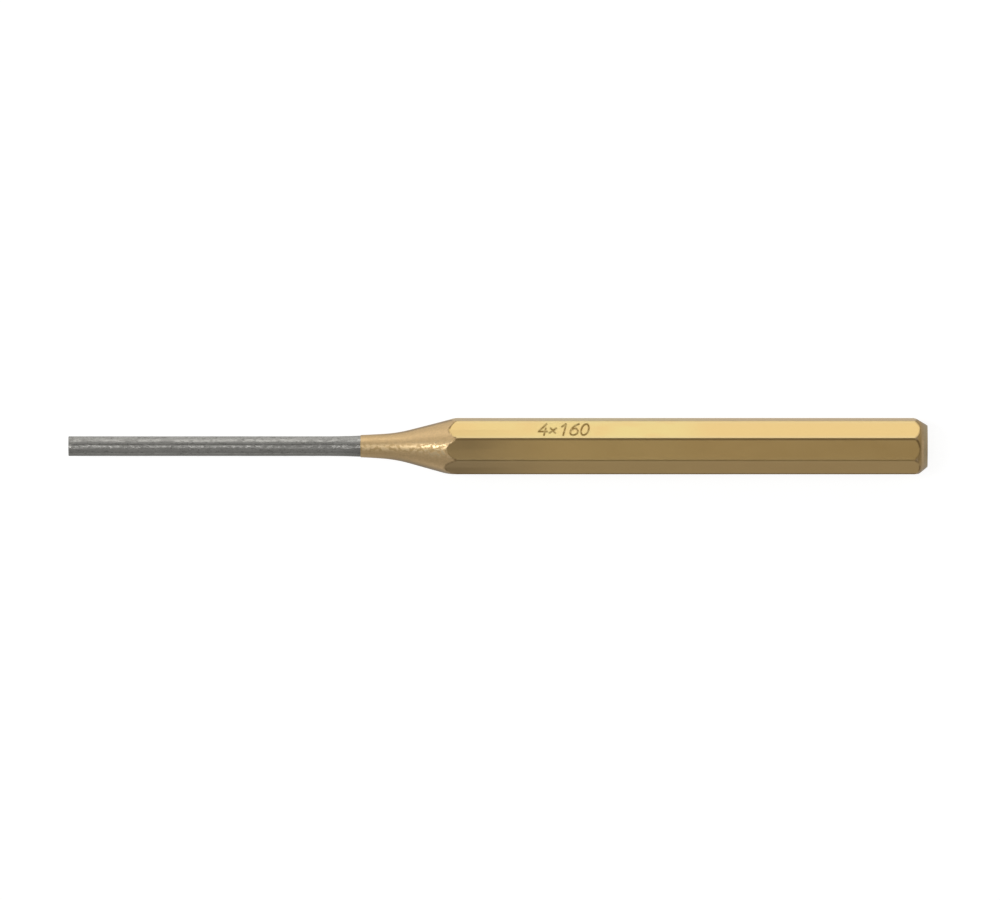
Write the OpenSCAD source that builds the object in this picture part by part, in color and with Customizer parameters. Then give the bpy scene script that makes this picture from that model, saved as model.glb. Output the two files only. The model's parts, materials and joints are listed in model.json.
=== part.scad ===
// Pin punch: a forged steel bar with a slim drive pin, a cone that runs out into an
// eight-sided shank, a chamfered striking head, and a film of gold lacquer on all but the pin.
// Millimetres. The punch lies on a flat along X: drive pin at -X, striking head at +X, +Z up.
// The origin is on the lowest flat, halfway between the two ends.

/* [Overall] */
// Length from the pin's end to the lacquered striking face
overall_l = 160; // [130:1:220]

/* [Drive pin] */
// Diameter of the bare pin
pin_d = 3.7; // [2:0.1:6]
// Length of the pin's straight part, from its end to the start of its root
pin_l = 48; // [30:1:60]
// Width of the broken edge at the pin's end
pin_edge = 0.15; // [0.05:0.05:0.4]

/* [Root and cone] */
// Radius of the long hollow where the pin thickens
root_r = 154; // [60:2:200]
// Angle at which the long hollow ends, from the punch's axis
root_angle = 4; // [3:0.5:8]
// Radius of the tighter hollow between the root and the cone
throat_r = 25.5; // [8:0.5:40]
// Angle of the cone's side, from the punch's axis
cone_angle = 15; // [12:0.5:25]
// Radius that rounds the cone into the shank
cone_round_r = 10; // [2:0.5:20]

/* [Shank] */
// Width of the steel shank across two opposite flats
shank_af = 9.9; // [9:0.1:16]
// Radius of the rounded edge between two flats
shank_edge_r = 0.45; // [0.2:0.05:1]

/* [Striking head] */
// Diameter of the steel striking face
head_face_d = 7.64; // [5:0.02:8.8]
// Angle of the head's turned chamfer, from the punch's axis
head_chamfer_angle = 39.5; // [25:0.5:60]
// Radius that rounds the chamfer into the shank
head_round_r = 3; // [1:0.25:5]

/* [Lacquer] */
// Thickness of the lacquer film
lacquer_t = 0.1; // [0.05:0.01:0.3]
// Distance from the pin's end to the edge of the lacquer
lacquer_line = 54.4; // [50:0.1:62]

/* [Hidden] */
$fn = 96;

// How far a cut or a blank runs past the form that it shapes
overrun = 0.6;
// How far the turned rounds stand off the shank's edges where they run level with them
round_clear = 0.03;
// Number of flats round the shank
flats = 8;
half_step = 180 / flats;
// Number of steps in which the profile follows each of its arcs
arc_steps = 10;

pin_r = pin_d / 2;
steel_l = overall_l - lacquer_t;
head_face_r = head_face_d / 2;
axis_height = shank_af / 2 + lacquer_t;

// Distance from the axis to the centre of a rounded edge, to its outermost point, and to the rounds
edge_centre_r = (shank_af / 2 - shank_edge_r) / cos(half_step);
edge_reach = edge_centre_r + shank_edge_r;
round_reach = edge_reach + round_clear;

// The profile is laid out as [distance from the pin's end, distance from the axis]. Slopes are
// angles from the axis, up towards the head, and each arc touches its neighbours without a kink.
function along(slope) = [cos(slope), sin(slope)];
function outward(slope) = [-sin(slope), cos(slope)];

// From a point, up or down a straight side of the given slope, to a distance from the axis
function side_end(start, slope, reach) =
    start + along(slope) * (reach - start[1]) / sin(slope);

// Points of an arc between two slopes: a radius below zero makes a hollow
function arc_points(centre, r, from_slope, to_slope) =
    [for (i = [0:arc_steps])
        centre + r * outward(from_slope + (to_slope - from_slope) * i / arc_steps)];

root_centre = [pin_l, pin_r + root_r];
throat_centre = root_centre + (throat_r - root_r) * outward(root_angle);
cone_start = throat_centre - throat_r * outward(cone_angle);
cone_end = side_end(cone_start, cone_angle, round_reach - cone_round_r * (1 - cos(cone_angle)));
cone_round_centre = cone_end - cone_round_r * outward(cone_angle);
chamfer_start = side_end([steel_l, head_face_r], -head_chamfer_angle,
    round_reach - head_round_r * (1 - cos(head_chamfer_angle)));
head_round_centre = chamfer_start - head_round_r * outward(-head_chamfer_angle);

// Half profile of the turned form, grown square to its surface by the given amount
module turned_profile(grown) {
    face_r = head_face_r + grown * (1 - sin(head_chamfer_angle)) / cos(head_chamfer_angle);
    polygon(concat(
        [[0, 0], [0, pin_r + grown - pin_edge], [pin_edge, pin_r + grown]],
        arc_points(root_centre, grown - root_r, 0, root_angle),
        arc_points(throat_centre, grown - throat_r, root_angle, cone_angle),
        arc_points(cone_round_centre, grown + cone_round_r, cone_angle, 0),
        arc_points(head_round_centre, grown + head_round_r, 0, -head_chamfer_angle),
        [[steel_l + grown, face_r], [steel_l + grown, 0]]
    ));
}

// The turned form along X, with the pin's end at the left
module turned_form(grown) {
    translate([-overall_l / 2, 0, axis_height])
        rotate([0, 90, 0])
            rotate_extrude()
                mirror([1, -1]) turned_profile(grown);
}

// Section of the shank: flats joined by rounded edges that touch each flat without a step
module shank_section(grown) {
    side = 2 * edge_centre_r * sin(half_step);
    for (i = [0:flats - 1]) rotate(i * 2 * half_step) {
        translate([0, -side / 2]) square([shank_af / 2 + grown, side]);
        rotate(half_step) translate([edge_centre_r, 0]) circle(shank_edge_r + grown);
    }
}

// The eight-sided bar along X
module shank_bar(grown) {
    translate([-overall_l / 2 - overrun, 0, axis_height])
        rotate([0, 90, 0])
            linear_extrude(overall_l + 2 * overrun) shank_section(grown);
}

// The punch's form: the bar, turned down to the pin, the cone and the head
module punch_form(grown) {
    intersection() {
        turned_form(grown);
        shank_bar(grown);
    }
}

// One piece of tool steel from the pin's end to the striking face
module forged_punch() {
    color("slategray") punch_form(0);
}

// The lacquer film: the form grown by its thickness, from the lacquer line on, less the steel
module lacquer_coat() {
    dipped_l = overall_l - lacquer_line + overrun;
    wide = 2 * (edge_reach + lacquer_t + overrun);
    color("goldenrod") difference() {
        intersection() {
            punch_form(lacquer_t);
            translate([lacquer_line - overall_l / 2, -wide / 2, axis_height - wide / 2])
                cube([dipped_l, wide, wide]);
        }
        punch_form(0);
    }
}

forged_punch();
lacquer_coat();
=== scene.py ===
"""A pin punch: one forged bar of tool steel with a slim drive pin, a cone, an eight-sided shank
and a chamfered head, dipped in gold lacquer up to the root of its pin. Metres throughout."""
import cmath
import json
import math

import bpy
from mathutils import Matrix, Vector


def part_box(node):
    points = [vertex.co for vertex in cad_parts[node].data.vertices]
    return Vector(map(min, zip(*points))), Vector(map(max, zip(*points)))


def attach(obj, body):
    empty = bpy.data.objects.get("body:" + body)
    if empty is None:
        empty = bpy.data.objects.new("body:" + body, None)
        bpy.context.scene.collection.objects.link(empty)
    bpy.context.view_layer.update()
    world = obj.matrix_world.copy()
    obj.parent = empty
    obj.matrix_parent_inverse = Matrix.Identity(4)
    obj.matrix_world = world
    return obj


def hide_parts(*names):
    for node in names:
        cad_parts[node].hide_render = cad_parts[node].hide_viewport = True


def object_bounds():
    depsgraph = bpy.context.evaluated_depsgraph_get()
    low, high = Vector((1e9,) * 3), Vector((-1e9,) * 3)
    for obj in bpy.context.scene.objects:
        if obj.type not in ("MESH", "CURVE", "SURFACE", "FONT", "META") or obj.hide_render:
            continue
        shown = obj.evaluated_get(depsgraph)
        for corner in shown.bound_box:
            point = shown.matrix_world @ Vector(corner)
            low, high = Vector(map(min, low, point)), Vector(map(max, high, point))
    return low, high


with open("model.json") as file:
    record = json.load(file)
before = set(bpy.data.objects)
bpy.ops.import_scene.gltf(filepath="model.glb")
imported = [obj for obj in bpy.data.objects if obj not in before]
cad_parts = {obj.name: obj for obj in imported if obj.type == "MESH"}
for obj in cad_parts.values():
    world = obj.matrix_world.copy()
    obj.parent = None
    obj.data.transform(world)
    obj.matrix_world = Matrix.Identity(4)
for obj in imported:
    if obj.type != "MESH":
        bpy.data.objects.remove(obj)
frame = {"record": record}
cad_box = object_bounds()

# The forged punch: one bar of tool steel, turned down to the drive pin and the cone, with the bar's
# eight flats left on the shank. The pin is ground along its length and stays bare. All round, its
# form is the smaller of a turned profile and the section of the bar.
MM = 0.001
PIN_END = cad_box[0].x
PUNCH_LENGTH = cad_box[1].x - cad_box[0].x
SHANK_WIDTH = cad_box[1].z - cad_box[0].z
AXIS_HEIGHT = cad_box[0].z + SHANK_WIDTH / 2
STEEL_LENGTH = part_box("forged_punch")[1].x - PIN_END
LACQUER_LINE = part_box("lacquer_coat")[0].x - PIN_END
LACQUER_THICKNESS = PUNCH_LENGTH - STEEL_LENGTH
FLAT_DISTANCE = SHANK_WIDTH / 2 - LACQUER_THICKNESS
PIN_MOUNT = next(m for m in frame["record"]["mounts"] if m["name"] == "drive_pin")
PIN_RADIUS = PIN_MOUNT["dims"]["r_mm"] * MM

FLATS = 8
FLAT_TURN = 360 / FLATS
EDGE_RADIUS = 0.45 * MM
EDGE_CENTRE = (FLAT_DISTANCE - EDGE_RADIUS) / math.cos(math.radians(FLAT_TURN / 2))
# The turned rounds run level this far outside the bar's edges.
ROUND_CLEAR = 0.03 * MM
BAR_REACH = EDGE_CENTRE + EDGE_RADIUS + ROUND_CLEAR

PIN_LENGTH = 48 * MM
PIN_EDGE = 0.15 * MM
ROOT_RADIUS = 154 * MM
ROOT_ANGLE = 4
THROAT_RADIUS = 25.5 * MM
CONE_ANGLE = 15
CONE_ROUND = 5 * MM
HEAD_FACE_RADIUS = 3.82 * MM
CHAMFER_ANGLE = 39.5
HEAD_ROUND = 2.3 * MM
HEAD_RIM = 0.16 * MM
# The profile stops this far from the axis, and the sweep's end caps close the rest.
CORE = 0.2 * MM


def along(slope):
    """One step up a side at that angle from the axis. The points of a profile are complex
    numbers: the distance from the pin's end, plus j times the distance from the axis."""
    return cmath.exp(1j * math.radians(slope))


def side_end(start, slope, reach):
    """Where a side from start, at that slope, comes to a distance from the axis."""
    return start + along(slope) * (reach - start.imag) / math.sin(math.radians(slope))


def side(start, end, step):
    """Points along a straight side, without its end."""
    count = max(1, round(abs(end - start) / step))
    return [start + (end - start) * i / count for i in range(count)]


def arc(centre, radius, slopes, step):
    """Points along an arc between two slopes, without its last. A radius below zero is a hollow."""
    first, last = slopes
    count = max(1, round(abs(radius * math.radians(last - first)) / step))
    return [centre + radius * 1j * along(first + (last - first) * i / count) for i in range(count)]


ROOT_CENTRE = PIN_LENGTH + 1j * (PIN_RADIUS + ROOT_RADIUS)
THROAT_CENTRE = ROOT_CENTRE + (THROAT_RADIUS - ROOT_RADIUS) * 1j * along(ROOT_ANGLE)
CONE_START = THROAT_CENTRE - THROAT_RADIUS * 1j * along(CONE_ANGLE)
CONE_REACH = BAR_REACH - CONE_ROUND * (1 - math.cos(math.radians(CONE_ANGLE)))
CONE_END = side_end(CONE_START, CONE_ANGLE, CONE_REACH)
CONE_ROUND_CENTRE = CONE_END - CONE_ROUND * 1j * along(CONE_ANGLE)
CHAMFER_REACH = BAR_REACH - HEAD_ROUND * (1 - math.cos(math.radians(CHAMFER_ANGLE)))
CHAMFER_START = side_end(STEEL_LENGTH + 1j * HEAD_FACE_RADIUS, -CHAMFER_ANGLE, CHAMFER_REACH)
HEAD_ROUND_CENTRE = CHAMFER_START - HEAD_ROUND * 1j * along(-CHAMFER_ANGLE)
# How far back from the corner of chamfer and face a round starts, for each metre of its radius.
CORNER_RUN = math.tan(math.radians(45 - CHAMFER_ANGLE / 2))

SHANK_STEP = 1.3 * MM
FACE_ROWS = 8
# The step along a tiny round, as a share of its radius.
TINY_ROUND_STEP = 0.25


def root_and_cone(grown, step):
    """The profile from the pin's root to the shank, grown square to its surface."""
    cone_lift = grown * 1j * along(CONE_ANGLE)
    return (
        arc(ROOT_CENTRE, grown - ROOT_RADIUS, (0, ROOT_ANGLE), step)
        + arc(THROAT_CENTRE, grown - THROAT_RADIUS, (ROOT_ANGLE, CONE_ANGLE), step)
        + side(CONE_START + cone_lift, CONE_END + cone_lift, step)
        + arc(CONE_ROUND_CENTRE, grown + CONE_ROUND, (CONE_ANGLE, 0), step)
    )


def shank(grown, places, step):
    """Rows along the shank between the cone and the head, close together between two places."""
    reach = 1j * (BAR_REACH + grown)
    start, end = CONE_ROUND_CENTRE.real + reach, HEAD_ROUND_CENTRE.real + reach
    close_start, close_end = places[0] + reach, places[1] + reach
    return (
        side(start, close_start, SHANK_STEP)
        + side(close_start, close_end, step)
        + side(close_end, end, SHANK_STEP)
    )


def head(grown, step):
    """The profile from the end of the shank to the middle of the striking face."""
    face_x = STEEL_LENGTH + grown
    face_middle = face_x + 1j * CORE
    corner = face_x + 1j * (HEAD_FACE_RADIUS + grown * CORNER_RUN)
    cut = HEAD_RIM * CORNER_RUN
    chamfer_start = CHAMFER_START + grown * 1j * along(-CHAMFER_ANGLE)
    chamfer_stop = corner - cut * along(-CHAMFER_ANGLE)
    rim_centre = chamfer_stop - HEAD_RIM * 1j * along(-CHAMFER_ANGLE)
    face_edge = corner - 1j * cut
    return (
        arc(HEAD_ROUND_CENTRE, grown + HEAD_ROUND, (0, -CHAMFER_ANGLE), step)
        + side(chamfer_start, chamfer_stop, step)
        + arc(rim_centre, HEAD_RIM, (-CHAMFER_ANGLE, -90), HEAD_RIM * TINY_ROUND_STEP)
        + side(face_edge, face_middle, face_edge.imag / FACE_ROWS)
        + [face_middle]
    )


MARKED_FLAT = 1
FLAT_STEP = 0.25 * MM
MARKED_FLAT_STEP = 0.088 * MM
EDGE_STEP = 0.06 * MM
EDGE_MARGIN = 0.05 * MM


def bar_section():
    """Points round the steel bar's section: eight flats joined by rounded edges."""
    half_side = EDGE_CENTRE * math.sin(math.radians(FLAT_TURN / 2))
    inner_half = half_side - EDGE_MARGIN
    points = []
    for flat in range(FLATS):
        facing = along(flat * FLAT_TURN)
        step = MARKED_FLAT_STEP if flat == MARKED_FLAT else FLAT_STEP
        flat_start = facing * (FLAT_DISTANCE - 1j * inner_half)
        flat_end = facing * (FLAT_DISTANCE + 1j * inner_half)
        edge_centre = facing * along(FLAT_TURN / 2) * EDGE_CENTRE
        edge_slopes = (flat * FLAT_TURN - 90, (flat + 1) * FLAT_TURN - 90)
        points += [facing * (FLAT_DISTANCE - 1j * half_side)]
        points += side(flat_start, flat_end, step) + [flat_end]
        points += arc(edge_centre, EDGE_RADIUS, edge_slopes, EDGE_STEP)
    return [(point.real, point.imag, 0) for point in points]


def line_object(name, strokes, closed=False):
    """A curve object of straight stretches through lists of points."""
    curve = bpy.data.curves.new(name, "CURVE")
    curve.dimensions = "3D"
    for points in strokes:
        spline = curve.splines.new("POLY")
        spline.points.add(len(points) - 1)
        for spot, point in zip(spline.points, points):
            spot.co = (*point, 1)
        spline.use_cyclic_u = closed
    made = bpy.data.objects.new(name, curve)
    bpy.context.scene.collection.objects.link(made)
    return made


class Wire:
    """An output of a node. Sums and products of wires and numbers add Math nodes to its tree."""

    def __init__(self, graph, socket):
        self.graph = graph
        self.socket = socket

    def math(self, operation, *terms):
        """A Math node of that operation on wires and numbers."""
        return self.graph.node("ShaderNodeMath", {"operation": operation}, dict(enumerate(terms)))

    def __add__(self, other):
        return self.math("ADD", self, other)

    def __radd__(self, other):
        return self.math("ADD", other, self)

    def __sub__(self, other):
        return self.math("SUBTRACT", self, other)

    def __rsub__(self, other):
        return self.math("SUBTRACT", other, self)

    def __mul__(self, other):
        return self.math("MULTIPLY", self, other)

    def __rmul__(self, other):
        return self.math("MULTIPLY", other, self)

    def __truediv__(self, other):
        return self.math("DIVIDE", self, other)

    def __rtruediv__(self, other):
        return self.math("DIVIDE", other, self)

    def __abs__(self):
        return self.math("ABSOLUTE", self)

    def root(self):
        """Its square root."""
        return self.math("SQRT", self)

    def larger(self, other):
        """The larger of the two."""
        return self.math("MAXIMUM", self, other)

    def smaller(self, other, blend):
        """The smaller of the two, rounded where they come within blend of each other."""
        return self.math("SMOOTH_MIN", self, other, blend)

    def rise(self, low, high):
        """0 below low, 1 above high and a smooth rise between them."""
        settings = {"interpolation_type": "SMOOTHSTEP"}
        inputs = {"Value": self, "From Min": low, "From Max": high}
        return self.graph.node("ShaderNodeMapRange", settings, inputs)

    def out(self, name):
        """Another output of the same node."""
        return Wire(self.graph, self.socket.node.outputs[name])


class Graph:
    """A node tree, with the one method that adds its nodes, and short forms of it."""

    def __init__(self, tree):
        self.tree = tree

    def node(self, kind, settings=None, inputs=None):
        """Adds a node with its settings, then sets or links its sockets by name or number."""
        made = self.tree.nodes.new(kind)
        for name, value in (settings or {}).items():
            if name == "captures":
                for kind_of_value, label in value:
                    made.capture_items.new(kind_of_value, label)
            else:
                setattr(made, name, value)
        for name, value in (inputs or {}).items():
            socket = made.inputs[name] if isinstance(name, int) else self.socket(made, name)
            if isinstance(value, Wire):
                self.tree.links.new(value.socket, socket)
            elif hasattr(socket.default_value, "__len__") and not isinstance(value, str):
                socket.default_value = (*value, 1)[: len(socket.default_value)]
            else:
                socket.default_value = value
        first = next((s for s in made.outputs if s.enabled), None)
        return Wire(self, first) if first else made

    def socket(self, made, name):
        """The node's socket in use with that name."""
        return next(s for s in made.inputs if s.enabled and name in (s.name, s.identifier))

    def vectors(self, operation, *terms):
        """A Vector Math node of that operation."""
        return self.node("ShaderNodeVectorMath", {"operation": operation}, dict(enumerate(terms)))

    def parts(self, vector):
        """The three parts of a vector."""
        split = self.node("ShaderNodeSeparateXYZ", {}, {"Vector": vector})
        return split.out("X"), split.out("Y"), split.out("Z")

    def vector(self, x, y, z):
        """A vector of three parts."""
        return self.node("ShaderNodeCombineXYZ", {}, {"X": x, "Y": y, "Z": z})

    def cloud(self, place, scale, detail, seed):
        """Cloudy values from 0 to 1 over places, with scale features to a metre."""
        inputs = {"Vector": place, "W": seed, "Scale": scale, "Detail": detail}
        return self.node("ShaderNodeTexNoise", {"noise_dimensions": "4D"}, inputs)


# The named inputs of the forming tree, with the values that they have if a piece gives none.
FORMING_SIZES = {
    "Pin end": PIN_END,
    "Axis height": AXIS_HEIGHT,
    "Flat distance": FLAT_DISTANCE,
    "Bar reach": BAR_REACH,
    "Face distance": STEEL_LENGTH,
    "Face radius": HEAD_FACE_RADIUS,
    "Cone start": 55 * MM,
    "Cone end": CONE_END.real,
    "Cone shift": 0.16 * MM,
    "Blend": 0.03 * MM,
    "Seam": 0.09 * MM,
    "Tip hollow": 0.0,
    "Dent depth": 0.0,
    "Dent size": 1 * MM,
    "Grain depth": 0.0,
    "Grain length": 1 * MM,
    "Grain width": 1 * MM,
    "Wave depth": 0.0,
    "Wave length": 8 * MM,
    "Mark depth": 0.0,
    "Mark width": 0.4 * MM,
}
# The askew chamfer: the flatter cut on the head's far side, which way it faces, the cosines from
# there over which it comes in, how far it stands off elsewhere, and how much thicker the film is
# square to the axis than square to this cut.
FAR_CUT_ANGLE = 31
FAR_CUT_TURN = 105
FAR_CUT_COSINES = (0.78, 0.92)
FAR_CUT_GROWTH = 1.17
FAR_CUT_CLEAR = 0.3 * MM
FAR_CUT_BLEND = 0.06 * MM
# Each pair from here on is a band over which a share rises from 0 to 1. These go by the distance
# along, in shares of the cone end's, by how deep the bar is cut down, and by the section's reach,
# in shares of the distance to a flat: 1 is the middle of a flat and about 1.07 a hard edge.
HEAD_BAND = (1.05, 1.2)
CUT_DOWN_BAND = (0, 0.3 * MM)
EDGE_LINE_REACH = (1.058, 1.066)
RIM_REACH = (1.035, 1.06)
SOFT_EDGE_REACH = (1.03, 1.06)
TIP_HOLLOW_FALL = 3.6
# The painted shade lines fade at one edge on the near side and at those on the far side, and
# stop at the marked flat. The first two go by how far aside an edge faces.
UNSHADED_EDGE_ASIDE = -0.38
UNSHADED_EDGE_BAND = (0.12, 0.35)
FAR_EDGE_BAND = (0.84, 0.9)
MARKED_FLAT_BAND = (-0.0005, 0.004)
# The painted shade line on the seam between turned and flat: the dark core of its width, how much
# wider it is at the head, its breaks per metre, and its tone, which is stronger at some places.
SEAM_CORE = 0.4
SEAM_DEPTH_BAND = (0.01 * MM, 0.06 * MM)
SEAM_WIDTH_AT_HEAD = 1.65
SEAM_BREAKS_AT_HEAD = 500
SEAM_BREAKS_AT_CONE = 1300
SEAM_BREAK_BAND = (0.39, 0.61)
SEAM_TONE = 0.55
SEAM_TONE_UNMARKED = 0.3
SEAM_TONE_MARKED_CONE = 0.4
SEAM_TONE_HEAD_CORNERS = 0.6
# Which noise makes a dent, the flat bottom of a stroke as a share of its half width, and the
# painted shade on the two sides of the turned parts, by how far a place falls short of the side's
# outermost point.
DENT_BAND = (0.35, 0.75)
STROKE_FLOOR = 0.35
NEAR_SIDE_SHADE_BAND = (0, 1.3 * MM)
FAR_SIDE_SHADE_BAND = (0.06 * MM, 0.28 * MM)
FAR_SIDE_SHADE_SHARE = 0.7


def forming_tree():
    """Sweeps the bar's section along a turned profile and keeps the smaller of the two all round.
    A profile point holds its distance along, its reach from the axis and how far the bar has
    grown there. The tree also cuts the head's far side flatter, dents the cone, waves the flats
    and sinks the size mark, and stores the shares that the lacquer reads."""
    tree = bpy.data.node_groups.new("Turned from bar", "GeometryNodeTree")
    kinds = {"Profile": "Geometry", "Bar section": "Object", "Size mark": "Object", "Finish": "Material"}
    for name, kind in kinds.items():
        tree.interface.new_socket(name, in_out="INPUT", socket_type="NodeSocket" + kind)
    for name, value in FORMING_SIZES.items():
        socket = tree.interface.new_socket(name, in_out="INPUT", socket_type="NodeSocketFloat")
        socket.default_value = value
    tree.interface.new_socket("Piece", in_out="OUTPUT", socket_type="NodeSocketGeometry")

    graph = Graph(tree)
    given = graph.node("NodeGroupInput")
    here = graph.node("GeometryNodeInputPosition")

    def placed(geometry):
        """The lines, with each point's place kept for after the sweep."""
        inputs = {"Geometry": geometry, "Place": here}
        settings = {"captures": [("VECTOR", "Place")]}
        return graph.node("GeometryNodeCaptureAttribute", settings, inputs)

    def drawn(name):
        """The lines of the curve object that is given under that name."""
        inputs = {"Object": given.out(name)}
        made = graph.node("GeometryNodeObjectInfo", {"transform_space": "RELATIVE"}, inputs)
        return made.out("Geometry")

    profile = placed(given.out("Profile"))
    section = placed(drawn("Bar section"))
    lines = {"Curve": profile, "Profile Curve": section, "Fill Caps": True}
    swept = graph.node("GeometryNodeCurveToMesh", {}, lines)
    distance, reach, grown = graph.parts(profile.out("Place"))
    aside, upward, _ = graph.parts(graph.vectors("NORMALIZE", section.out("Place")))
    section_reach = graph.vectors("LENGTH", section.out("Place")).out("Value")
    relative = section_reach / given.out("Flat distance")
    cone_end = given.out("Cone end")
    on_cone = distance.rise(given.out("Cone start"), cone_end)
    before_head = 1 - distance.rise(*(cone_end * share for share in HEAD_BAND))

    # The bar's reach, the turned reach and the smaller of the two.
    hollow = (1 - (relative - 1).root() * TIP_HOLLOW_FALL) * given.out("Tip hollow")
    bar = section_reach * (1 + grown / given.out("Flat distance")) - hollow * before_head
    turned_down = given.out("Bar reach") + grown - reach
    off_centre = on_cone * turned_down.rise(*CUT_DOWN_BAND) * before_head
    turned = reach - off_centre * given.out("Cone shift") * aside
    far_facing = along(FAR_CUT_TURN)
    far_share = (aside * far_facing.imag + upward * far_facing.real).rise(*FAR_CUT_COSINES)
    steep, flat = (math.tan(math.radians(angle)) for angle in (CHAMFER_ANGLE, FAR_CUT_ANGLE))
    cut_rise = steep - far_share * (steep - flat)
    far_cut = given.out("Face radius") + (given.out("Face distance") - distance) * cut_rise
    far_cut = far_cut + grown * FAR_CUT_GROWTH + (1 - far_share) * FAR_CUT_CLEAR
    turned = turned.smaller(far_cut, FAR_CUT_BLEND)
    formed_reach = turned.smaller(bar, given.out("Blend"))

    def place_at(radius):
        """The place at that distance from the axis."""
        up = upward * radius + given.out("Axis height")
        return graph.vector(distance + given.out("Pin end"), aside * radius, up)

    surface = place_at(formed_reach)
    turned_share = (bar - turned).rise(given.out("Blend") * -0.5, given.out("Blend"))

    # Lines of painted shade along the bar's edges and along the seam between turned and flat.
    marked_facing = along(FLAT_TURN * MARKED_FLAT)
    marked_cosine = aside * marked_facing.real + upward * marked_facing.imag
    edge_cosine = math.cos(math.radians(FLAT_TURN / 2))
    unmarked = 1 - marked_cosine.rise(*(edge_cosine + change for change in MARKED_FLAT_BAND))
    shaded_edges = abs(aside - UNSHADED_EDGE_ASIDE).rise(*UNSHADED_EDGE_BAND) * (1 - aside.rise(*FAR_EDGE_BAND))
    edge_line = relative.rise(*EDGE_LINE_REACH) * (1 - turned_share) * shaded_edges * unmarked
    seam_width = given.out("Seam") * (SEAM_WIDTH_AT_HEAD - (SEAM_WIDTH_AT_HEAD - 1) * before_head)
    breaks = SEAM_BREAKS_AT_HEAD + (SEAM_BREAKS_AT_CONE - SEAM_BREAKS_AT_HEAD) * before_head
    broken = graph.cloud(surface, breaks, detail=2.0, seed=9.0).rise(*SEAM_BREAK_BAND)
    seam_line = 1 - abs(bar - turned).rise(seam_width * SEAM_CORE, seam_width)
    seam_line = seam_line * turned_down.rise(*SEAM_DEPTH_BAND)
    seam_tone = SEAM_TONE + SEAM_TONE_UNMARKED * unmarked
    seam_tone = seam_tone + SEAM_TONE_MARKED_CONE * before_head * (1 - unmarked)
    corners = relative.rise(*RIM_REACH) * (1 - before_head) * shaded_edges
    seam_tone = seam_tone + SEAM_TONE_HEAD_CORNERS * corners
    ridge_share = edge_line.larger(seam_line * broken * seam_tone)
    soft_share = (1 - turned_share) * relative.rise(*SOFT_EDGE_REACH)

    # What is sunk into the surface: dents, waves, the grain of the grinding and the size mark.
    dents = graph.cloud(surface, 1 / given.out("Dent size"), detail=2.0, seed=2.0)
    waves = graph.cloud(surface, 1 / given.out("Wave length"), detail=1.0, seed=7.0)
    across = 1 / given.out("Grain width")
    grain_steps = graph.vector(1 / given.out("Grain length"), across, across)
    grain_place = graph.vectors("MULTIPLY", surface, grain_steps)
    grain = graph.cloud(grain_place, 1.0, detail=1.0, seed=4.0)
    strokes = graph.node("GeometryNodeCurveToMesh", {}, {"Curve": drawn("Size mark")})
    nearest = {"Target": strokes, "Source Position": surface}
    to_stroke = graph.node("GeometryNodeProximity", {"target_element": "EDGES"}, nearest)
    half_mark = given.out("Mark width") / 2
    has_mark = given.out("Mark depth").math("GREATER_THAN", given.out("Mark depth"), 0)
    off_stroke = to_stroke.out("Distance").rise(half_mark * STROKE_FLOOR, half_mark)
    mark_share = (1 - off_stroke) * has_mark
    on_turned_cone = turned_share * on_cone * before_head
    sunk = (
        on_turned_cone * given.out("Dent depth") * dents.rise(*DENT_BAND)
        + given.out("Wave depth") * waves
        + turned_share * given.out("Grain depth") * grain
        + given.out("Mark depth") * mark_share
    )
    moved = {"Geometry": swept, "Position": place_at(formed_reach - sunk)}
    formed = graph.node("GeometryNodeSetPosition", {}, moved)

    # Painted shade on the two sides of the turned parts.
    painted_near_shade = 1 - (turned * (1 + aside)).rise(*NEAR_SIDE_SHADE_BAND)
    painted_far_shade = 1 - (turned * (1 - aside)).rise(*FAR_SIDE_SHADE_BAND)
    stored = {
        "turned": turned_share,
        "sides": (painted_near_shade + painted_far_shade * FAR_SIDE_SHADE_SHARE) * turned_share,
        "ridge": ridge_share,
        "soft_edge": soft_share,
        "mark": mark_share,
    }
    for name, value in stored.items():
        formed = graph.node(
            "GeometryNodeStoreNamedAttribute",
            {"data_type": "FLOAT", "domain": "POINT"},
            {"Geometry": formed, "Name": name, "Value": value},
        )
    smooth = graph.node("GeometryNodeSetShadeSmooth", {}, {"Geometry": formed})
    real = graph.node("GeometryNodeRealizeInstances", {}, {"Geometry": smooth})
    dressed = {"Geometry": real, "Material": given.out("Finish")}
    graph.node("NodeGroupOutput", {}, {"Piece": graph.node("GeometryNodeSetMaterial", {}, dressed)})
    return tree


FORMING_TREE = forming_tree()
BAR_SECTION = line_object("bar_section", [bar_section()], closed=True)


def form_piece(name, rows, inputs):
    """A plain mesh piece, formed by the tree along profile rows of (point, growth)."""
    line = line_object(name + "_profile", [[(p.real, p.imag, grown) for p, grown in rows]])
    modifier = line.modifiers.new("Turned from bar", "NODES")
    modifier.node_group = FORMING_TREE
    given = {**FORMING_SIZES, "Bar section": BAR_SECTION, **inputs}
    for socket in FORMING_TREE.interface.items_tree:
        if socket.name in given:
            modifier[socket.identifier] = given[socket.name]
    bpy.context.view_layer.update()
    graph = bpy.context.evaluated_depsgraph_get()
    mesh = bpy.data.meshes.new_from_object(line.evaluated_get(graph), depsgraph=graph)
    piece = bpy.data.objects.new(name, mesh)
    bpy.context.scene.collection.objects.link(piece)
    line.modifiers.remove(modifier)
    bpy.data.objects.remove(line)
    return piece


def new_finish(name):
    """A material with an empty node tree, and the graph to fill it."""
    finish = bpy.data.materials.new(name)
    finish.use_nodes = True
    finish.node_tree.nodes.clear()
    return finish, Graph(finish.node_tree)


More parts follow.
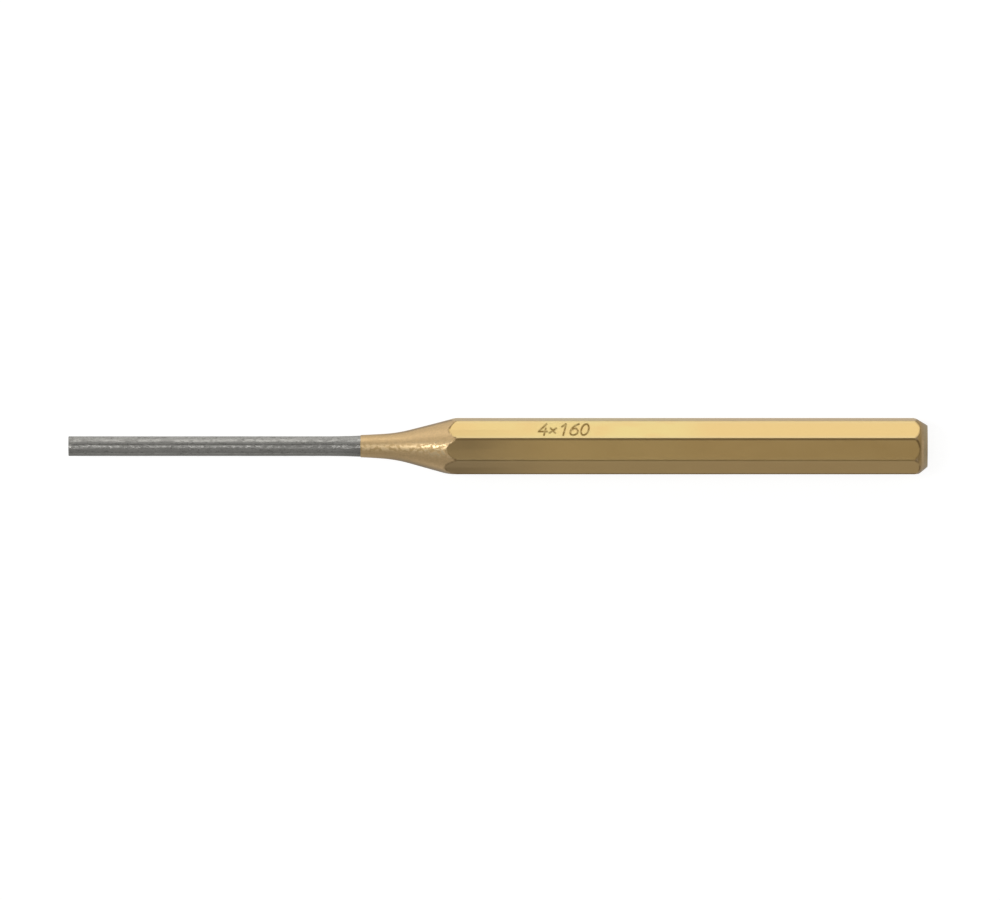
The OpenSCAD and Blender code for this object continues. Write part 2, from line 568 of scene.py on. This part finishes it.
def finish_with(graph, settings):
    """The Principled surface of a finish."""
    surface = graph.node("ShaderNodeBsdfPrincipled", {}, settings)
    graph.node("ShaderNodeOutputMaterial", {}, {"Surface": surface})


def object_place(graph):
    """The place on the punch, in metres from the middle of its length, aside and up."""
    return graph.node("ShaderNodeTexCoord").out("Object")


def pattern(graph, factors, detail, seed):
    """Cloudy values with that many features per metre along, across and up."""
    return graph.cloud(graph.vectors("MULTIPLY", object_place(graph), factors), 1.0, detail, seed)


def mixed(graph, share, first, second):
    """One colour that turns into another as share goes from 0 to 1."""
    inputs = {"Factor_Float": share, "A_Color": first, "B_Color": second}
    return graph.node("ShaderNodeMix", {"data_type": "RGBA"}, inputs).out("Result")


def stripe(aside, middle, full, gone):
    """1 within full of a line along the punch, falling to 0 at gone from it."""
    return 1 - abs(aside - middle).rise(full, gone)


# Of these, the second is painted light, the third also serves for painted shade and the fourth is a
# painted highlight.
STEEL_COLOUR = (0.33, 0.322, 0.30)
STEEL_PAINTED_LIGHT = (0.42, 0.41, 0.385)
STEEL_DARK_MARKS_AND_SHADE = (0.17, 0.165, 0.152)
STEEL_PAINTED_HIGHLIGHT = (0.62, 0.61, 0.575)
# Patterns: features per metre along, across and up, then the detail and the seed.
BROAD_STREAKS = ((140, 2600, 2600), 3.0, 1.0)
FINE_STREAKS = ((900, 11000, 11000), 2.0, 2.0)
STEEL_MARKS = ((800, 2300, 2300), 2.0, 3.0)
STEEL_SPECKS = ((1800, 3200, 3200), 1.0, 4.0)
STEEL_DASHES = ((1700, 2300, 2300), 1.0, 5.0)
# Which values of a pattern turn into a mark.
STREAK_VALUES = (0.35, 0.7)
DULL_VALUES = (0.48, 0.62)
SPECK_VALUES = (0.56, 0.66)
DARK_REFLECTION_VALUES = (0.42, 0.56)
DASH_VALUES = (0.42, 0.6)
# Stripes along the pin, of painted dark reflection, painted shade and painted highlight dashes:
# their middle, aside from its top, and where they start and end to fade.
DARK_REFLECTION = (0.52 * MM, 0.06 * MM, 0.2 * MM)
PAINTED_SHADE_STRIPE = (1.13 * MM, 0.06 * MM, 0.22 * MM)
HIGHLIGHT_DASH_ROW = (0.14 * MM, 0.08 * MM, 0.24 * MM)
# Bands: past the pin's end face, of painted shade down its near side, of painted light down its
# far side, towards the lacquer line, and of painted shade across the top beside that line.
PAST_END = (0.03 * MM, 0.12 * MM)
PIN_NEAR_SIDE_SHADE = (-1.45 * MM, -1.15 * MM)
PIN_FAR_SIDE_LIGHT = (1.3 * MM, 1.6 * MM)
NEAR_LACQUER = (-31 * MM, -26 * MM)
PAINTED_SHADE_NEAR_LACQUER = (0.3 * MM, 0.8 * MM)
# How much each mark darkens the steel, or lightens it. The streaks, dull marks and specks are its
# own; the rest are painted shade, painted reflection and painted highlight.
STREAK_SHADE = 0.3
DULL_SHADE = 0.3
SPECK_SHADE = 0.5
DARK_REFLECTION_SHADE = 0.95
DARK_REFLECTION_GAPS = 0.2
FAR_STRIPE_SHADE = 0.22
NEAR_LACQUER_SHADE = 0.4
HIGHLIGHT_DASH_LIGHT = 0.6
# How deep the relief of a finish is, and how much of it each pattern makes.
BUMP_DEPTH = 0.05 * MM
BROAD_RELIEF = 0.26
FINE_RELIEF = 0.1
RELIEF_LOST_NEAR_LACQUER = 0.8


def ground_steel():
    """Bare tool steel, ground along the pin: fine streaks, specks and dull marks, with a broken
    painted dark reflection beside a row of painted highlight dashes along its top, painted shade
    down its near side, beside the lacquer and in a stripe on its far side, painted light down its
    far side, and smoother near the lacquer."""
    finish, graph = new_finish("ground_steel")
    broad_streaks = pattern(graph, *BROAD_STREAKS)
    fine_streaks = pattern(graph, *FINE_STREAKS)
    marks = pattern(graph, *STEEL_MARKS)
    dull = marks.rise(*DULL_VALUES)
    specks = pattern(graph, *STEEL_SPECKS).rise(*SPECK_VALUES)
    dashes = pattern(graph, *STEEL_DASHES).rise(*DASH_VALUES)
    past_middle, aside, _ = graph.parts(object_place(graph))
    on_side = (past_middle - PIN_END).rise(*PAST_END)
    near_line = past_middle.rise(*NEAR_LACQUER)

    shade = broad_streaks.rise(*STREAK_VALUES) * STREAK_SHADE + dull * DULL_SHADE
    # Painted shade down the pin's near side.
    shade = (shade + specks * SPECK_SHADE).larger(on_side * (1 - aside.rise(*PIN_NEAR_SIDE_SHADE)))
    # A broken stripe of painted dark reflection along the pin's top.
    broken = DARK_REFLECTION_GAPS + (1 - DARK_REFLECTION_GAPS) * marks.rise(*DARK_REFLECTION_VALUES)
    shade = shade + stripe(aside, *DARK_REFLECTION) * broken * on_side * DARK_REFLECTION_SHADE
    # A stripe of painted shade on the pin's far side.
    shade = shade + stripe(aside, *PAINTED_SHADE_STRIPE) * on_side * FAR_STRIPE_SHADE
    # Painted shade over the pin beside the lacquer line.
    shade = shade + near_line * (1 - aside.rise(*PAINTED_SHADE_NEAR_LACQUER)) * NEAR_LACQUER_SHADE
    # Painted light down the pin's far side.
    tone = mixed(graph, on_side * aside.rise(*PIN_FAR_SIDE_LIGHT), STEEL_COLOUR, STEEL_PAINTED_LIGHT)
    colour = mixed(graph, shade, tone, STEEL_DARK_MARKS_AND_SHADE)
    # A row of painted highlight dashes along the pin's top.
    highlight_dashes = dashes * stripe(aside, *HIGHLIGHT_DASH_ROW) * on_side * (1 - near_line)
    colour = mixed(graph, highlight_dashes * HIGHLIGHT_DASH_LIGHT, colour, STEEL_PAINTED_HIGHLIGHT)
    height = broad_streaks * BROAD_RELIEF + fine_streaks * FINE_RELIEF
    height = height + marks * (1.0 - near_line * RELIEF_LOST_NEAR_LACQUER)
    relief = {"Height": height, "Strength": 0.45, "Distance": BUMP_DEPTH}
    settings = {
        "Base Color": colour,
        "Metallic": 0.5,
        "Roughness": 0.09 + broad_streaks * 0.04 + dull * 0.28 + near_line * 0.1,
        "Specular Tint": (0.35, 0.35, 0.33),
        "Normal": graph.node("ShaderNodeBump", {}, relief),
    }
    finish_with(graph, settings)
    return finish


def plain(points, grown=0.0):
    """Profile points as rows, all grown alike."""
    return [(point, grown) for point in points]


PIN_ROW_STEP = 0.22 * MM
PIN_FACE_ROWS = 6
UNDER_LACQUER_STEP = 0.5 * MM
# Any stretch of the steel's shank does for its close rows, because they are no closer than the rest.
STEEL_PLACES = (0.5 * PUNCH_LENGTH, 0.6 * PUNCH_LENGTH)
pin_edge_centre = PIN_EDGE + 1j * (PIN_RADIUS - PIN_EDGE)
steel_rows = (
    side(1j * CORE, 1j * (PIN_RADIUS - PIN_EDGE), PIN_RADIUS / PIN_FACE_ROWS)
    + arc(pin_edge_centre, PIN_EDGE, (90, 0), PIN_EDGE * TINY_ROUND_STEP)
    + side(PIN_EDGE + 1j * PIN_RADIUS, PIN_LENGTH + 1j * PIN_RADIUS, PIN_ROW_STEP)
    + root_and_cone(0, UNDER_LACQUER_STEP)
    + shank(0, STEEL_PLACES, SHANK_STEP)
    + head(0, UNDER_LACQUER_STEP)
)
forged_punch = form_piece(
    "punch_steel",
    plain(steel_rows),
    {
        "Finish": ground_steel(),
        "Wave depth": 0.012 * MM,
        "Wave length": 5 * MM,
        "Grain depth": 0.014 * MM,
        "Grain length": 1.3 * MM,
        "Grain width": 0.55 * MM,
    },
)
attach(forged_punch, "root")
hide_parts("forged_punch")

# The lacquer coat: gold lacquer that the forged bar is dipped in, from the striking face to a crisp
# line just past the pin's root. It is a tenth of a millimetre thick, drawn round at its edge, and
# the size of the punch is stamped through it into one flat of the shank.
LACQUER_BEAD = 0.07 * MM
CONE_ROW_STEP = 0.2 * MM
SHOULDER_ROW_STEP = 0.09 * MM
SHOULDER = 67 * MM
HEAD_ROW_STEP = 0.08 * MM
# The rows against the steel are this many times as far apart as the steel's own.
INSIDE_STEP = 4

MARK_ROW_STEP = 0.09 * MM
MARK_HEIGHT = 2.65 * MM
MARK_PITCH = 1.92 * MM
MARK_START = 87.4 * MM
MARK_ROWS = (MARK_START - 0.5 * MM, MARK_START + 10.2 * MM)
MARK_SLANT = 0.2
MARK_WIDTH = 0.45 * MM
MARK_DEPTH = 0.08 * MM
RING_POINTS = 14


def ring(centre, half_size, turn):
    """Points on an ellipse between two angles, in shares of a digit's height."""
    first, last = turn
    angles = [math.radians(first + (last - first) * i / RING_POINTS) for i in range(RING_POINTS + 1)]
    across, up = half_size.real, half_size.imag
    return [centre + complex(across * math.cos(a), up * math.sin(a)) for a in angles]


# Strokes of the plain digits, in shares of their height, across plus j times up.
DIGITS = {
    "4": [[0.42 + 1j, 0.0 + 0.32j, 0.6 + 0.32j], [0.44 + 0.6j, 0.44 + 0j]],
    "x": [[0.06 + 0.2j, 0.46 + 0.62j], [0.06 + 0.62j, 0.46 + 0.2j]],
    "1": [[0.1 + 0.76j, 0.34 + 1j, 0.34 + 0j]],
    "6": [ring(0.32 + 0.3j, 0.26 + 0.3j, (0, 360)), ring(0.8 + 0.3j, 0.74 + 0.74j, (180, 112))],
    "0": [ring(0.32 + 0.5j, 0.26 + 0.5j, (0, 360))],
}


def size_mark(text):
    """Stroke lines of a size on the marked flat, over the lacquer."""
    facing = along(MARKED_FLAT * FLAT_TURN)
    strokes = []
    for place, digit in enumerate(text):
        start = PIN_END + MARK_START + place * MARK_PITCH
        for stroke in DIGITS[digit]:
            points = []
            for share in stroke:
                x = start + (share.real + MARK_SLANT * share.imag) * MARK_HEIGHT
                up = (share.imag - 0.5) * MARK_HEIGHT
                spot = facing * (FLAT_DISTANCE + LACQUER_THICKNESS - 1j * up)
                points.append((x, spot.real, AXIS_HEIGHT + spot.imag))
            strokes.append(points)
    return line_object("size_mark", strokes)


# Of these, the brown, dull and side colours also serve as painted shade, and the glint colour as a
# painted highlight.
GOLD = (0.535, 0.38, 0.155)
GOLD_YELLOW = (0.535, 0.425, 0.175)
GOLD_BROWN_AND_SHADE = (0.36, 0.234, 0.084)
GOLD_CONE = (0.575, 0.398, 0.195)
GOLD_HEAD = (0.61, 0.43, 0.225)
GOLD_RIM = (0.33, 0.29, 0.19)
GOLD_WORN = (0.50, 0.41, 0.23)
GOLD_EDGE = (0.12, 0.07, 0.02)
GOLD_DULL_AND_SHADE = (0.30, 0.21, 0.10)
GOLD_GLINT = (0.80, 0.63, 0.36)
GOLD_PAINTED_SHADE = (0.13, 0.095, 0.05)
MARK_BROWN = (0.21, 0.125, 0.025)
# Patterns, as in the steel, and the turning rings on the face, by their number per metre.
PATCHES = ((120, 300, 300), 3.0, 11.0)
FLAKES = ((7000, 7000, 7000), 2.0, 12.0)
PEEL = ((1500, 2200, 2200), 2.0, 13.0)
GRIT = ((1500, 1700, 1700), 2.0, 14.0)
SPECKLE = ((2600, 2600, 2600), 1.0, 15.0)
WORN_PAINT = ((1100, 1300, 1300), 2.0, 16.0)
FACE_RINGS = 3500.0
PATCH_VALUES = (0.3, 0.6)
SPECKLE_VALUES = (0.35, 0.65)
GLINT_VALUES = (0.4, 0.6)
DAB_VALUES = (0.43, 0.57)
WORN_PAINT_VALUES = (0.42, 0.56)


def stored_share(graph, name):
    """A share that the forming tree stored on the piece."""
    return graph.node("ShaderNodeAttribute", {"attribute_name": name}).out("Fac")


# The head, by the distance past its face: the face, the brown collar behind its rim and the rim.
# Its two sides, by the distance aside, which take painted shade.
FACE_BAND = (-0.14 * MM, -0.04 * MM)
COLLAR_START = (-2.0 * MM, -1.7 * MM)
COLLAR_END = (-1.3 * MM, -1.0 * MM)
RIM_BAND = (-0.9 * MM, -0.5 * MM)
HEAD_NEAR_BAND = (-3 * MM, -1 * MM)
HEAD_FAR_BAND = (0.5 * MM, 3 * MM)
HEAD_NEAR_SHADE = 0.45
HEAD_FAR_SHADE = 0.83
FACE_DULL = 0.2
FACE_PATCHES = 0.3
COLLAR_BROWN = 0.9
RIM_SHARE = 0.5


def head_tone(graph, past_face, aside, face, patches):
    """The lacquer on the turned head, with painted shade on both sides, a brown collar and a worn
    rim.
    """
    # Painted shade on the head's two sides.
    head_near_shade = HEAD_NEAR_SHADE * (1 - aside.rise(*HEAD_NEAR_BAND))
    head_sides_shade = head_near_shade + HEAD_FAR_SHADE * aside.rise(*HEAD_FAR_BAND)
    dull = head_sides_shade * (1 - face) + (FACE_DULL + FACE_PATCHES * patches) * face
    tone = mixed(graph, dull, GOLD_HEAD, GOLD_DULL_AND_SHADE)
    collar = past_face.rise(*COLLAR_START) * (1 - past_face.rise(*COLLAR_END))
    tone = mixed(graph, collar * COLLAR_BROWN, tone, GOLD_BROWN_AND_SHADE)
    return mixed(graph, past_face.rise(*RIM_BAND) * RIM_SHARE, tone, GOLD_RIM)


# The shank, by the distance past the punch's middle: its part by the cone, which takes painted
# shade, and where the yellow patches end. Its near side, by the distance aside, takes painted shade
# in brown, and its lowest part more painted shade.
NEAR_CONE_BAND = (-9 * MM, 14 * MM)
YELLOW_END = (30 * MM, 42 * MM)
NEAR_SHADE_END = (1.7 * MM, 2.3 * MM)
LOW_SHADE_END = (-2.4 * MM, -1.9 * MM)
LOW_SHADE = 0.35
NEAR_SHADE_LEAST = 0.7
YELLOW_LOST_BY_CONE = 0.75
BROWN_SHADE_BY_CONE = 0.56
SHADE_BY_CONE = 0.02
WORN_EDGE = 0.35


def shank_tone(graph, past_middle, aside, patches):
    """The lacquer on the flats: patchy gold, browner with painted shade on the near side and worn on
    soft edges.
    """
    near_cone = 1 - past_middle.rise(*NEAR_CONE_BAND)
    yellow_share = (1 - past_middle.rise(*YELLOW_END)) * patches.rise(*PATCH_VALUES)
    yellow_share = yellow_share * (1 - near_cone * YELLOW_LOST_BY_CONE)
    # Painted shade: browner on the near side, darker on the lowest part and by the cone.
    near_shade_share = (1 - aside.rise(*NEAR_SHADE_END)) * (NEAR_SHADE_LEAST + (1 - NEAR_SHADE_LEAST) * patches)
    low_shade_share = LOW_SHADE - LOW_SHADE * aside.rise(*LOW_SHADE_END)
    dark_share = near_cone * (SHADE_BY_CONE + near_shade_share * BROWN_SHADE_BY_CONE)
    worn_share = stored_share(graph, "soft_edge") * (1 - near_shade_share) * WORN_EDGE
    tone = mixed(graph, yellow_share, GOLD, GOLD_YELLOW)
    tone = mixed(graph, near_shade_share, tone, GOLD_BROWN_AND_SHADE)
    tone = mixed(graph, low_shade_share, tone, GOLD_DULL_AND_SHADE)
    tone = mixed(graph, dark_share, tone, GOLD_PAINTED_SHADE)
    return mixed(graph, worn_share, tone, GOLD_WORN)


# Where the turned parts turn into the head's tone, how dark the painted shade on their two sides
# is at the pin's root and past it, and where that ends at the rim.
HEAD_TONE_FULL = 0.9 * PUNCH_LENGTH / 2
SIDES_AT_ROOT = 0.25
SIDES_MORE_ON_CONE = 0.62
SIDES_ON_CONE_BAND = (-27 * MM, -14 * MM)
SIDES_END = (-0.5 * MM, -0.2 * MM)
SIDES_LOST_AT_HEAD = 0.55
SPECKLE_DULL = 0.2
# The gritty cone: where its grit ends, the polished stripe along its top and where its painted
# glints come in, and the dotted line of painted highlight and shade along its neck.
GRIT_END = (0, 20 * MM)
POLISHED_STRIPE = (0.9 * MM, 2 * MM)
GLINTS_AT_ROOT = 0.12
GLINTS_BAND = (-18 * MM, -10.5 * MM)
GLINT_LIGHT = 0.45
DAB_STRIPE = (0.3 * MM, 0.9 * MM)
DAB_LINE_END = (-12 * MM, -7 * MM)
DAB_SHADE = 0.5
DAB_HIGHLIGHT = 0.32
EDGE_DARK = 0.78
WORN_MARK = 0.48
PEEL_RELIEF = 0.4
FLAKE_RELIEF = 0.15
RING_RELIEF = 0.9
POLISHED_GRIT_RELIEF = 1.5


def gold_lacquer():
    """Gold lacquer: fine metal flakes in a clear coat, patchy in tone, gritty and polished on the
    cone with painted glints and a dotted painted highlight, ringed on the face, with painted shade
    on the sides and along the bar's edges, and brown in the stamped strokes."""
    finish, graph = new_finish("gold_lacquer")
    patches = pattern(graph, *PATCHES)
    flakes = pattern(graph, *FLAKES)
    grit = pattern(graph, *GRIT)
    turned = stored_share(graph, "turned")
    mark = stored_share(graph, "mark")
    past_middle, aside, height = graph.parts(object_place(graph))
    past_face = past_middle - PUNCH_LENGTH / 2
    face = past_face.rise(*FACE_BAND)
    head_share = past_middle.rise(0, HEAD_TONE_FULL)

    head_gold = head_tone(graph, past_face, aside, face, patches)
    turned_gold = mixed(graph, head_share, GOLD_CONE, head_gold)
    tone = mixed(graph, turned, shank_tone(graph, past_middle, aside, patches), turned_gold)
    # Painted shade on the two sides of the turned parts.
    turned_side_shade = SIDES_AT_ROOT + SIDES_MORE_ON_CONE * past_middle.rise(*SIDES_ON_CONE_BAND)
    turned_side_shade = turned_side_shade * (1 - past_face.rise(*SIDES_END)) * (1 - SIDES_LOST_AT_HEAD * head_share)
    tone = mixed(graph, stored_share(graph, "sides") * turned_side_shade, tone, GOLD_PAINTED_SHADE)
    speckle = pattern(graph, *SPECKLE).rise(*SPECKLE_VALUES)
    tone = mixed(graph, turned * speckle * SPECKLE_DULL, tone, GOLD_DULL_AND_SHADE)

    gritty = turned * (1 - past_middle.rise(*GRIT_END))
    polished = 1 - abs(aside).rise(*POLISHED_STRIPE)
    shine = GLINTS_AT_ROOT + (1 - GLINTS_AT_ROOT) * past_middle.rise(*GLINTS_BAND)
    glints = grit.rise(*GLINT_VALUES) * gritty * polished * shine
    # Painted highlight: the glints lighten the colour as well as the gloss.
    tone = mixed(graph, glints * GLINT_LIGHT, tone, GOLD_GLINT)
    # A dotted line of painted highlight and painted shade along the neck.
    neck_highlight_line = gritty * (1 - abs(aside).rise(*DAB_STRIPE)) * (1 - past_middle.rise(*DAB_LINE_END))
    highlight_dabs = grit.rise(*DAB_VALUES)
    tone = mixed(graph, neck_highlight_line * (1 - highlight_dabs) * DAB_SHADE, tone, GOLD_BROWN_AND_SHADE)
    tone = mixed(graph, neck_highlight_line * highlight_dabs * DAB_HIGHLIGHT, tone, GOLD_GLINT)

    # Painted shade along the bar's edges and the seam.
    tone = mixed(graph, stored_share(graph, "ridge") * EDGE_DARK, tone, GOLD_EDGE)
    paint = pattern(graph, *WORN_PAINT).rise(*WORN_PAINT_VALUES)
    tone = mixed(graph, mark * (WORN_MARK + (1 - WORN_MARK) * paint), tone, MARK_BROWN)

    up = height - AXIS_HEIGHT
    from_axis = {"W": (aside * aside + up * up).root(), "Scale": FACE_RINGS, "Detail": 2.0}
    rings = graph.node("ShaderNodeTexNoise", {"noise_dimensions": "1D"}, from_axis)
    grit_relief = grit * gritty * (1.0 + POLISHED_GRIT_RELIEF * polished)
    relief = pattern(graph, *PEEL) * PEEL_RELIEF + grit_relief
    relief = relief + flakes * FLAKE_RELIEF + rings * face * RING_RELIEF
    bump = {"Height": relief, "Strength": 0.3, "Distance": BUMP_DEPTH}
    settings = {
        "Base Color": tone,
        "Metallic": 0.72 - turned * 0.25,
        "Roughness": 0.3 + flakes * 0.08 + mark * 0.2 + turned * 0.1 - glints * 0.24,
        "Specular Tint": (0.61, 0.56, 0.54),
        "Coat Weight": 0.06 + glints * 0.45,
        "Coat Roughness": 0.16,
        "Normal": graph.node("ShaderNodeBump", {}, bump),
    }
    finish_with(graph, settings)
    return finish


def lacquer_rows():
    """Rows over the outside of the film, round its edge and back along the steel."""
    grown = LACQUER_THICKNESS
    outside = [p for p in root_and_cone(grown, CONE_ROW_STEP) if LACQUER_LINE < p.real < SHOULDER]
    outside += [p for p in root_and_cone(grown, SHOULDER_ROW_STEP) if p.real > SHOULDER]
    run = outside[1] - outside[0]
    rim = outside[0] - run * (outside[0].real - LACQUER_LINE) / run.real
    outside += shank(grown, MARK_ROWS, MARK_ROW_STEP) + head(grown, HEAD_ROW_STEP)
    inside = [p for p in root_and_cone(0, SHANK_STEP) if p.real > LACQUER_LINE]
    inside += shank(0, MARK_ROWS, INSIDE_STEP * SHANK_STEP)
    inside += head(0, INSIDE_STEP * UNDER_LACQUER_STEP)
    bead_centre = rim + LACQUER_BEAD - 1j * LACQUER_BEAD
    bead = arc(bead_centre, LACQUER_BEAD, (90, 0), LACQUER_BEAD * TINY_ROUND_STEP)
    past_bead = [p for p in outside if p.real > bead[-1].real]
    return plain(inside[::-1] + [rim - 1j * grown] + bead) + plain(past_bead, grown)


lacquer_coat = form_piece(
    "lacquer_coat_film",
    lacquer_rows(),
    {
        "Finish": gold_lacquer(),
        "Size mark": size_mark("4x160"),
        "Mark depth": MARK_DEPTH,
        "Mark width": MARK_WIDTH,
        "Tip hollow": 0.08 * MM,
        "Dent depth": 0.01 * MM,
        "Dent size": 0.6 * MM,
        "Wave depth": 0.012 * MM,
        "Wave length": 7 * MM,
    },
)
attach(lacquer_coat, "root")
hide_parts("lacquer_coat")

# The drawn lines have done their work, and aren't pieces of the punch.
for line in [o for o in bpy.context.scene.objects if o.type == "CURVE"]:
    bpy.data.objects.remove(line)

# The floor: a plain white sweep that the punch lies on, wide enough to fill every view. It keeps
# the punch's soft shadow.
FLOOR_RADIUS = 15
FLOOR_CORNERS = 64
FLOOR_GAP = 0.02 * MM
FLOOR_GLOW = 0.87
FLOOR_COLOUR = (0.24, 0.24, 0.237)


def white_floor():
    """White for the camera, in metal and through glass, plus a pale colour that takes the shadow.
    From below it is clear, so that the underside of the punch shows."""
    finish, graph = new_finish("white_floor")
    path = graph.node("ShaderNodeLightPath")
    seen = path.out("Is Camera Ray") + path.out("Is Glossy Ray") + path.out("Is Transmission Ray")
    glow = graph.node("ShaderNodeEmission", {}, {"Strength": seen * FLOOR_GLOW})
    pale = graph.node("ShaderNodeBsdfDiffuse", {}, {"Color": FLOOR_COLOUR})
    lit = graph.node("ShaderNodeAddShader", {}, {0: pale, 1: glow})
    clear = graph.node("ShaderNodeBsdfTransparent")
    below = graph.node("ShaderNodeNewGeometry").out("Backfacing")
    shown = graph.node("ShaderNodeMixShader", {}, {0: below, 1: lit, 2: clear})
    graph.node("ShaderNodeOutputMaterial", {}, {"Surface": shown})
    return finish


floor_mesh = bpy.data.meshes.new("floor")
floor_ring = [along(360 * i / FLOOR_CORNERS) * FLOOR_RADIUS for i in range(FLOOR_CORNERS)]
floor_points = [(corner.real, corner.imag, -FLOOR_GAP) for corner in floor_ring]
floor_mesh.from_pydata(floor_points, [], [range(FLOOR_CORNERS)])
floor_mesh.materials.append(white_floor())
floor = bpy.data.objects.new("floor", floor_mesh)
bpy.context.scene.collection.objects.link(floor)

# The light: a wide soft panel low on the far side, a long narrow one and a small bright one above
# the punch, and a dim room all round.
PUNCH_MIDDLE = Vector((0, 0, AXIS_HEIGHT))


def soft_panel(name, direction, distance, size, radiance):
    """A rectangular lamp that faces the punch, as bright all over as a radiance of that level."""
    lamp = bpy.data.lights.new(name, "AREA")
    lamp.shape = "RECTANGLE"
    lamp.size, lamp.size_y = size
    lamp.energy = radiance * math.pi * size[0] * size[1]
    panel = bpy.data.objects.new(name, lamp)
    back = Vector(direction).normalized()
    panel.location = PUNCH_MIDDLE + back * distance
    panel.rotation_euler = (-back).to_track_quat("-Z", "Y").to_euler()
    panel.visible_camera = False
    bpy.context.scene.collection.objects.link(panel)


soft_panel("side_panel", direction=(0, 1, 0.26), distance=1.2, size=(3.2, 0.66), radiance=1.59)
soft_panel("long_panel", direction=(-0.12, 0, 1), distance=2.0, size=(1.4, 0.06), radiance=9.6)
soft_panel("cone_lamp", direction=(-0.54, 0.16, 0.86), distance=2.0, size=(0.4, 1.2), radiance=6.9)

ROOM_LEVEL = 0.45
ROOM_GLOW = 0.35
ROOM_FAR_WALL = (0.6, 1)
HORIZON_LEVEL = 0.95
HORIZON_EDGE = (0.015, 0.035)


def dim_room():
    """An even grey room, paler on its far side and in a band where the floor meets it."""
    world = bpy.data.worlds.new("dim_room")
    bpy.context.scene.world = world
    world.use_nodes = True
    world.node_tree.nodes.clear()
    graph = Graph(world.node_tree)
    _, far, up = graph.parts(graph.node("ShaderNodeTexCoord").out("Generated"))
    room = ROOM_LEVEL + ROOM_GLOW * far.rise(*ROOM_FAR_WALL)
    level = HORIZON_LEVEL + abs(up).rise(*HORIZON_EDGE) * (room - HORIZON_LEVEL)
    light = graph.node("ShaderNodeBackground", {}, {"Strength": level})
    graph.node("ShaderNodeOutputWorld", {}, {"Surface": light})


dim_room()

# The camera: a long lens almost straight above the punch, which leans a little to its far side.
# The whole punch lies across the frame, from its pin on the left to its head on the right.
CAMERA_LEAN = 7
CAMERA_DISTANCE = 6.0
VIEW_WIDTH = 186.25 * MM
VIEW_MIDDLE_X = 0.378 * MM
AXIS_ABOVE_MIDDLE = 0.714 * MM
camera_data = bpy.data.cameras.new("camera")
camera_data.lens = camera_data.sensor_width * CAMERA_DISTANCE / VIEW_WIDTH
camera = bpy.data.objects.new("camera", camera_data)
bpy.context.scene.collection.objects.link(camera)
lean = math.radians(CAMERA_LEAN)
back = Vector((0, math.sin(lean), math.cos(lean)))
up = Vector((0, math.cos(lean), -math.sin(lean)))
view_middle = Vector((VIEW_MIDDLE_X, 0, AXIS_HEIGHT)) - up * AXIS_ABOVE_MIDDLE
camera.location = view_middle + back * CAMERA_DISTANCE
camera.rotation_euler = (-lean, 0, 0)
bpy.context.scene.camera = camera
bpy.context.scene.view_settings.view_transform = "Standard"
